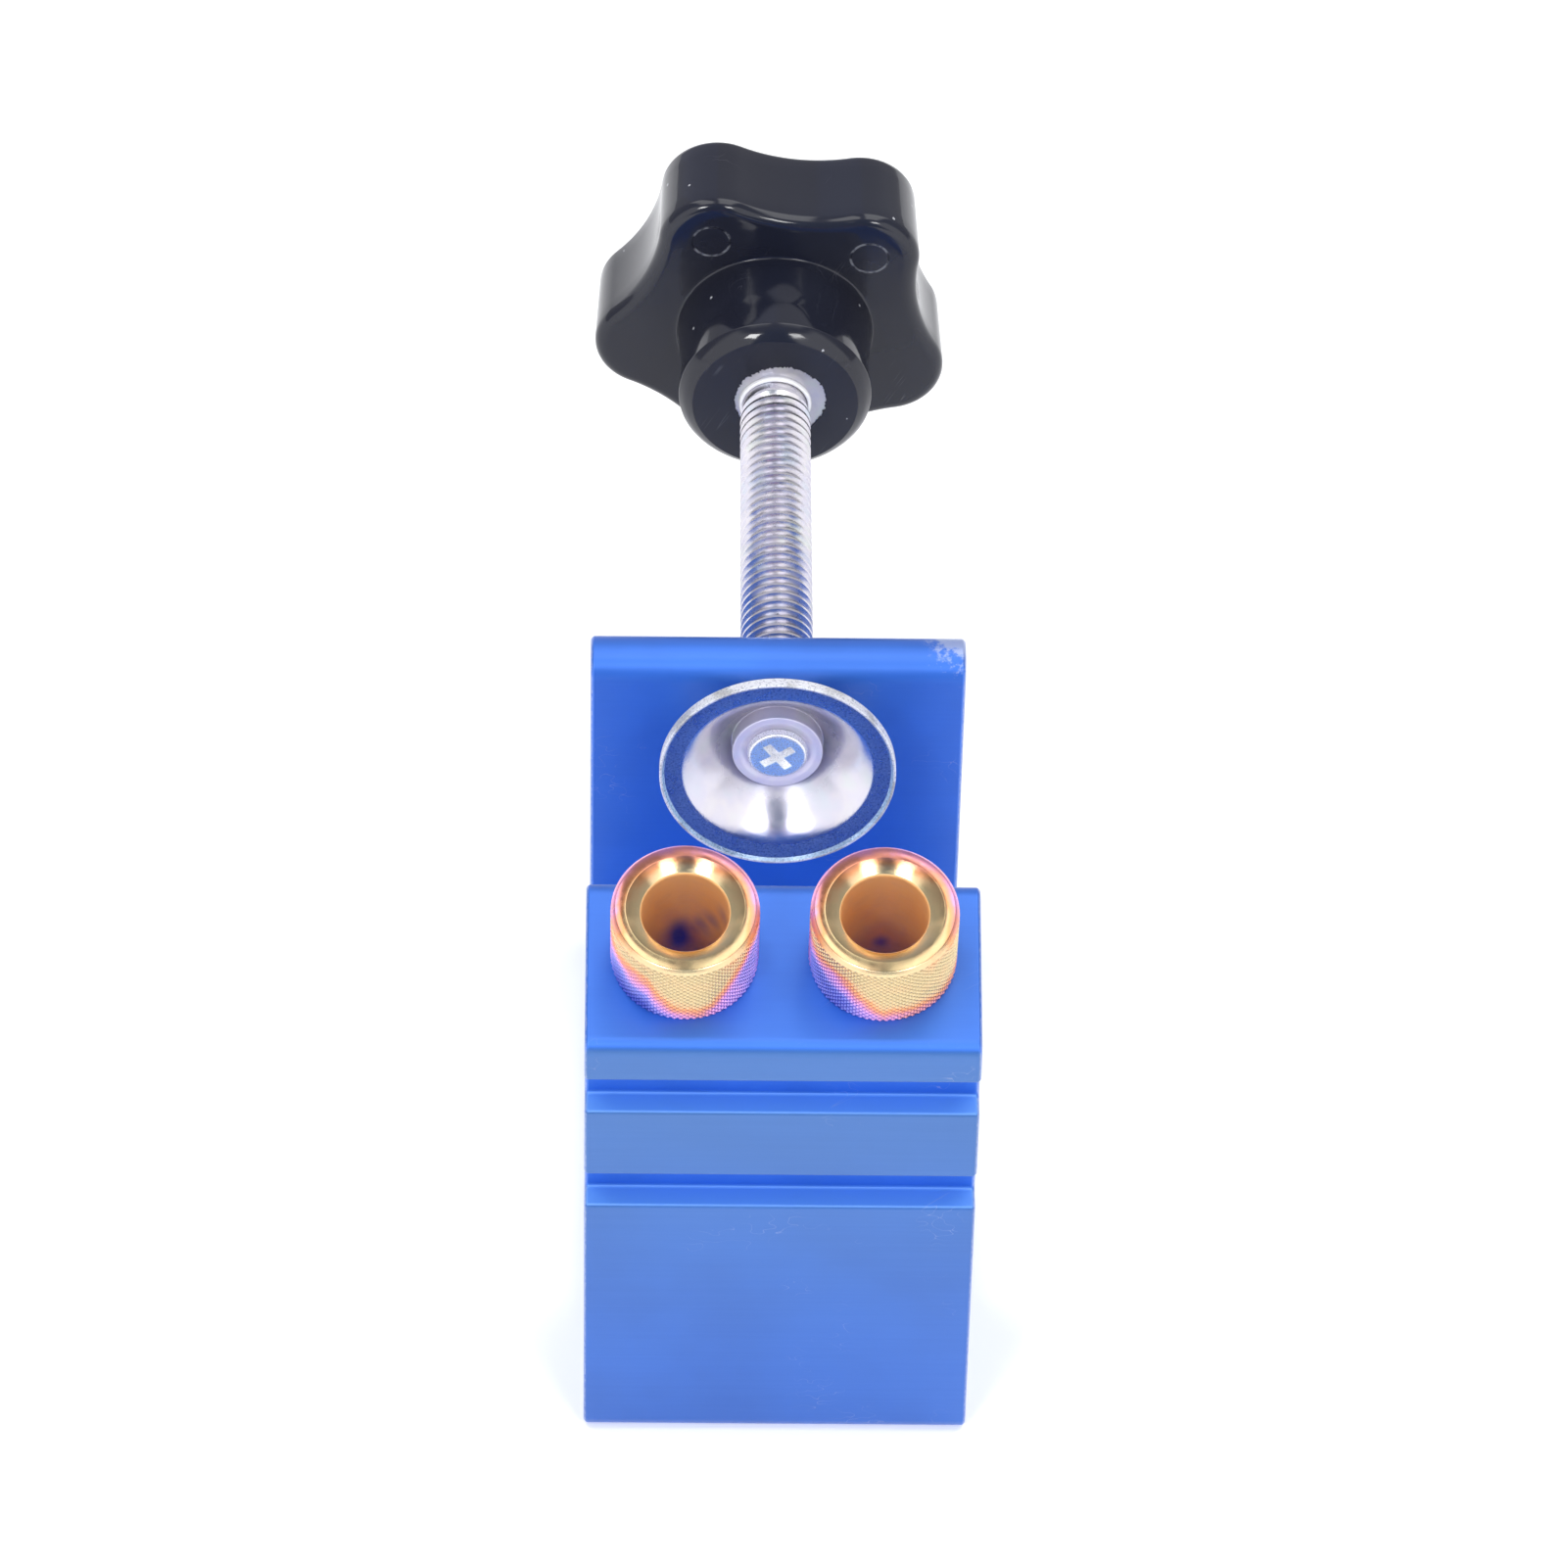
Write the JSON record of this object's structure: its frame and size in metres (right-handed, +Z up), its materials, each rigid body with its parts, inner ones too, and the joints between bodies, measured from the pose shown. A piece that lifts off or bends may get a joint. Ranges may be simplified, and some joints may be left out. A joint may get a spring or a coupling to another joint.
{
  "type": "pocket hole jig",
  "caption": "Small drilling jig for angled pocket holes: a U-shaped aluminium body with slanted drill bushes in a guide block, and a star-knob clamp screw with a swivel pad.",
  "frame": {"origin": "on the underside of the base, on the jig's centre plane, directly below the guide block's clamping face", "axes": "+X across the jig, +Y from the guide block towards the knob along the clamp screw, +Z up"},
  "size_m": [0.0401, 0.141, 0.0723],
  "materials": {
    "anodised_body": "satin blue anodised extrusion, dyed through, with fine drawing lines",
    "gold_bush": "hardened steel with a gold coating, heat-tinted to orange, magenta and violet on the knurl",
    "zinc_screw": "bright blue-white zinc plating",
    "zinc_pad": "bright zinc plating on pressed sheet, cloudy in the cup",
    "black_knob": "glossy black moulded plastic with ejector marks"
  },
  "bodies": {
    "frame": {"jig_body": "anodised_body", "guide_bush_left": "gold_bush", "guide_bush_right": "gold_bush"},
    "pad": {"swivel_pad": "zinc_pad"},
    "clamp_screw": {"clamp_spindle": "zinc_screw", "pad_screw": "zinc_screw", "star_knob": "black_knob", "knob_insert": "zinc_screw"}
  },
  "joints": [
    {"name": "clamp_travel", "type": "slide", "parent": "frame", "child": "pad", "axis": [0, -1, 0], "range_m": [0, 0.0378]},
    {"name": "knob_turn", "type": "hinge", "parent": "pad", "child": "clamp_screw", "pos_m": [0, 0.047, 0.0385], "axis": [0, -1, 0], "range_deg": [0, 10886]}
  ],
  "couplings": [
    {"joint": "clamp_travel", "follows": "knob_turn", "m_per_rad": 0.00019894}
  ]
}
